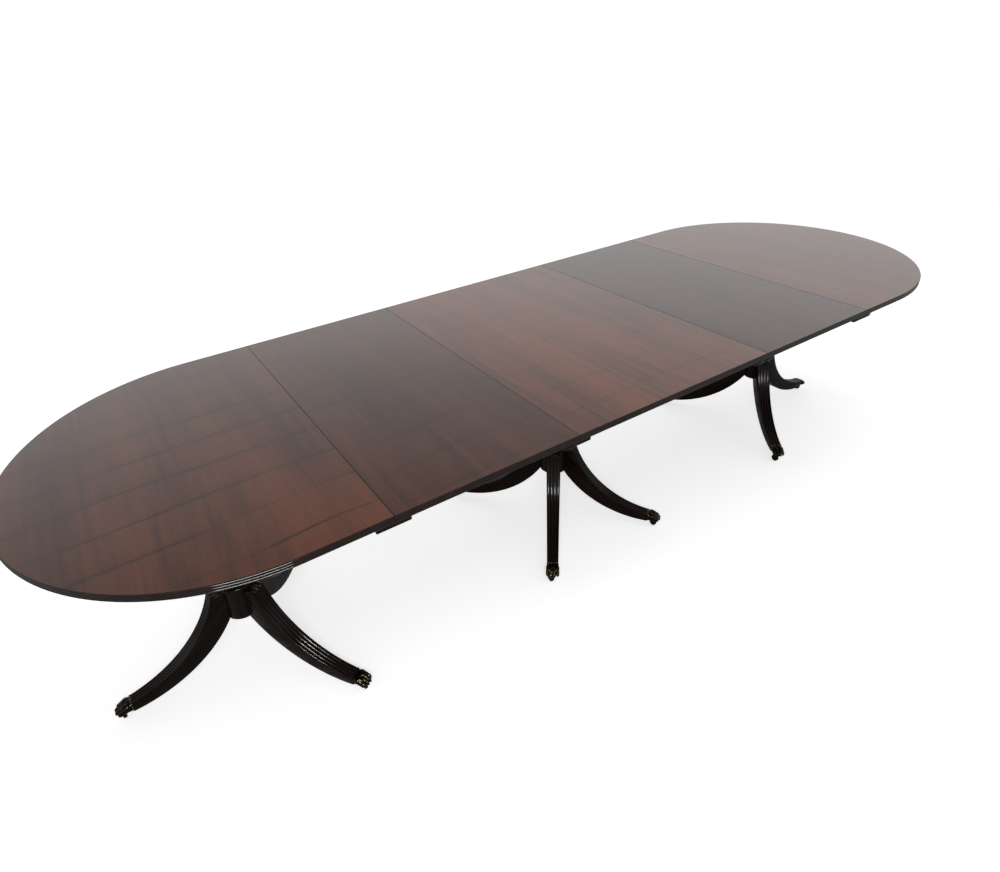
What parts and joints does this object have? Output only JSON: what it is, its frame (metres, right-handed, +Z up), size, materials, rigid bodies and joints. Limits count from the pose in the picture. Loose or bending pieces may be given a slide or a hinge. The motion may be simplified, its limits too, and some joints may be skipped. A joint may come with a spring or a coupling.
{
  "type": "pedestal dining table",
  "caption": "Long round-ended dining table with a sectional reed-edged mahogany top on turned pedestals with sabre legs, brass paw feet and castors; leaves and ends slide apart.",
  "frame": {"origin": "on the floor under the middle of the table", "axes": "+X along the length of the table, +Y across it towards the back, +Z up"},
  "size_m": [3.1544, 1.056, 0.75],
  "materials": {
    "top_mahogany": "French-polished mahogany, worn semi-gloss",
    "base_mahogany": "dark-stained polished mahogany",
    "bearer_wood": "planed and stained, unpolished",
    "paw_brass": "cast brass darkened with age",
    "castor_brass": "turned brass darkened with age",
    "fitting_brass": "cast brass, dull",
    "screw_steel": "oxidised steel"
  },
  "bodies": {
    "centre_unit": {"centre_top": "top_mahogany", "centre_forks": "fitting_brass", "centre_screws": "screw_steel", "centre_column": "base_mahogany", "centre_block": "bearer_wood", "centre_bearers": "bearer_wood", "centre_paw_caps": "paw_brass", "centre_leg_front_left": "base_mahogany", "centre_leg_front_right": "base_mahogany", "centre_leg_back_left": "base_mahogany", "centre_leg_back_right": "base_mahogany"},
    "centre_castor_front_left": {"centre_castor_horn_front_left": "castor_brass"},
    "centre_wheel_front_left": {"centre_castor_wheel_front_left": "castor_brass"},
    "centre_castor_front_right": {"centre_castor_horn_front_right": "castor_brass"},
    "centre_wheel_front_right": {"centre_castor_wheel_front_right": "castor_brass"},
    "centre_castor_back_left": {"centre_castor_horn_back_left": "castor_brass"},
    "centre_wheel_back_left": {"centre_castor_wheel_back_left": "castor_brass"},
    "centre_castor_back_right": {"centre_castor_horn_back_right": "castor_brass"},
    "centre_wheel_back_right": {"centre_castor_wheel_back_right": "castor_brass"},
    "left_end_unit": {"left_end_top": "top_mahogany", "left_end_sockets": "fitting_brass", "left_end_screws": "screw_steel", "left_end_column": "base_mahogany", "left_end_block": "bearer_wood", "left_end_bearers": "bearer_wood", "left_end_paw_caps": "paw_brass", "left_end_leg_outer": "base_mahogany", "left_end_leg_front": "base_mahogany", "left_end_leg_back": "base_mahogany"},
    "left_end_castor_outer": {"left_end_castor_horn_outer": "castor_brass"},
    "left_end_wheel_outer": {"left_end_castor_wheel_outer": "castor_brass"},
    "left_end_castor_front": {"left_end_castor_horn_front": "castor_brass"},
    "left_end_wheel_front": {"left_end_castor_wheel_front": "castor_brass"},
    "left_end_castor_back": {"left_end_castor_horn_back": "castor_brass"},
    "left_end_wheel_back": {"left_end_castor_wheel_back": "castor_brass"},
    "right_end_unit": {"right_end_top": "top_mahogany", "right_end_sockets": "fitting_brass", "right_end_screws": "screw_steel", "right_end_column": "base_mahogany", "right_end_block": "bearer_wood", "right_end_bearers": "bearer_wood", "right_end_paw_caps": "paw_brass", "right_end_leg_outer": "base_mahogany", "right_end_leg_front": "base_mahogany", "right_end_leg_back": "base_mahogany"},
    "right_end_castor_outer": {"right_end_castor_horn_outer": "castor_brass"},
    "right_end_wheel_outer": {"right_end_castor_wheel_outer": "castor_brass"},
    "right_end_castor_front": {"right_end_castor_horn_front": "castor_brass"},
    "right_end_wheel_front": {"right_end_castor_wheel_front": "castor_brass"},
    "right_end_castor_back": {"right_end_castor_horn_back": "castor_brass"},
    "right_end_wheel_back": {"right_end_castor_wheel_back": "castor_brass"},
    "left_leaf_unit": {"left_leaf": "top_mahogany", "left_leaf_sockets": "fitting_brass", "left_leaf_forks": "fitting_brass", "left_leaf_screws": "screw_steel"},
    "right_leaf_unit": {"right_leaf": "top_mahogany", "right_leaf_sockets": "fitting_brass", "right_leaf_forks": "fitting_brass", "right_leaf_screws": "screw_steel"}
  },
  "joints": [
    {"name": "left_leaf_slide", "type": "slide", "parent": "centre_unit", "child": "left_leaf_unit", "axis": [-1, 0, 0], "range_m": [0, 0.032]},
    {"name": "left_end_slide", "type": "slide", "parent": "left_leaf_unit", "child": "left_end_unit", "axis": [-1, 0, 0], "range_m": [0, 0.3]},
    {"name": "right_leaf_slide", "type": "slide", "parent": "centre_unit", "child": "right_leaf_unit", "axis": [1, 0, 0], "range_m": [0, 0.032]},
    {"name": "right_end_slide", "type": "slide", "parent": "right_leaf_unit", "child": "right_end_unit", "axis": [1, 0, 0], "range_m": [0, 0.3]},
    {"name": "centre_castor_swivel_front_left", "type": "hinge", "parent": "centre_unit", "child": "centre_castor_front_left", "pos_m": [-0.23701, -0.2906, 0.031], "axis": [0, 0, 1], "continuous": true},
    {"name": "centre_castor_roll_front_left", "type": "hinge", "parent": "centre_castor_front_left", "child": "centre_wheel_front_left", "pos_m": [-0.23701, -0.2816, 0.0135], "axis": [-1, 0, 0], "continuous": true},
    {"name": "centre_castor_swivel_front_right", "type": "hinge", "parent": "centre_unit", "child": "centre_castor_front_right", "pos_m": [0.23701, -0.2906, 0.031], "axis": [0, 0, 1], "continuous": true},
    {"name": "centre_castor_roll_front_right", "type": "hinge", "parent": "centre_castor_front_right", "child": "centre_wheel_front_right", "pos_m": [0.23701, -0.2816, 0.0135], "axis": [-1, 0, 0], "continuous": true},
    {"name": "centre_castor_swivel_back_left", "type": "hinge", "parent": "centre_unit", "child": "centre_castor_back_left", "pos_m": [-0.23701, 0.2906, 0.031], "axis": [0, 0, 1], "continuous": true},
    {"name": "centre_castor_roll_back_left", "type": "hinge", "parent": "centre_castor_back_left", "child": "centre_wheel_back_left", "pos_m": [-0.23701, 0.2996, 0.0135], "axis": [-1, 0, 0], "continuous": true},
    {"name": "centre_castor_swivel_back_right", "type": "hinge", "parent": "centre_unit", "child": "centre_castor_back_right", "pos_m": [0.23701, 0.2906, 0.031], "axis": [0, 0, 1], "continuous": true},
    {"name": "centre_castor_roll_back_right", "type": "hinge", "parent": "centre_castor_back_right", "child": "centre_wheel_back_right", "pos_m": [0.23701, 0.2996, 0.0135], "axis": [-1, 0, 0], "continuous": true},
    {"name": "left_end_castor_swivel_outer", "type": "hinge", "parent": "left_end_unit", "child": "left_end_castor_outer", "pos_m": [-1.5162, 0, 0.031], "axis": [0, 0, 1], "continuous": true},
    {"name": "left_end_castor_roll_outer", "type": "hinge", "parent": "left_end_castor_outer", "child": "left_end_wheel_outer", "pos_m": [-1.5162, 0.009, 0.0135], "axis": [-1, 0, 0], "continuous": true},
    {"name": "left_end_castor_swivel_front", "type": "hinge", "parent": "left_end_unit", "child": "left_end_castor_front", "pos_m": [-0.92237, -0.30453, 0.031], "axis": [0, 0, 1], "continuous": true},
    {"name": "left_end_castor_roll_front", "type": "hinge", "parent": "left_end_castor_front", "child": "left_end_wheel_front", "pos_m": [-0.92237, -0.29553, 0.0135], "axis": [-1, 0, 0], "continuous": true},
    {"name": "left_end_castor_swivel_back", "type": "hinge", "parent": "left_end_unit", "child": "left_end_castor_back", "pos_m": [-0.92237, 0.30453, 0.031], "axis": [0, 0, 1], "continuous": true},
    {"name": "left_end_castor_roll_back", "type": "hinge", "parent": "left_end_castor_back", "child": "left_end_wheel_back", "pos_m": [-0.92237, 0.31353, 0.0135], "axis": [-1, 0, 0], "continuous": true},
    {"name": "right_end_castor_swivel_outer", "type": "hinge", "parent": "right_end_unit", "child": "right_end_castor_outer", "pos_m": [1.5162, 0, 0.031], "axis": [0, 0, 1], "continuous": true},
    {"name": "right_end_castor_roll_outer", "type": "hinge", "parent": "right_end_castor_outer", "child": "right_end_wheel_outer", "pos_m": [1.5162, 0.009, 0.0135], "axis": [-1, 0, 0], "continuous": true},
    {"name": "right_end_castor_swivel_front", "type": "hinge", "parent": "right_end_unit", "child": "right_end_castor_front", "pos_m": [0.92237, -0.30453, 0.031], "axis": [0, 0, 1], "continuous": true},
    {"name": "right_end_castor_roll_front", "type": "hinge", "parent": "right_end_castor_front", "child": "right_end_wheel_front", "pos_m": [0.92237, -0.29553, 0.0135], "axis": [-1, 0, 0], "continuous": true},
    {"name": "right_end_castor_swivel_back", "type": "hinge", "parent": "right_end_unit", "child": "right_end_castor_back", "pos_m": [0.92237, 0.30453, 0.031], "axis": [0, 0, 1], "continuous": true},
    {"name": "right_end_castor_roll_back", "type": "hinge", "parent": "right_end_castor_back", "child": "right_end_wheel_back", "pos_m": [0.92237, 0.31353, 0.0135], "axis": [-1, 0, 0], "continuous": true}
  ]
}
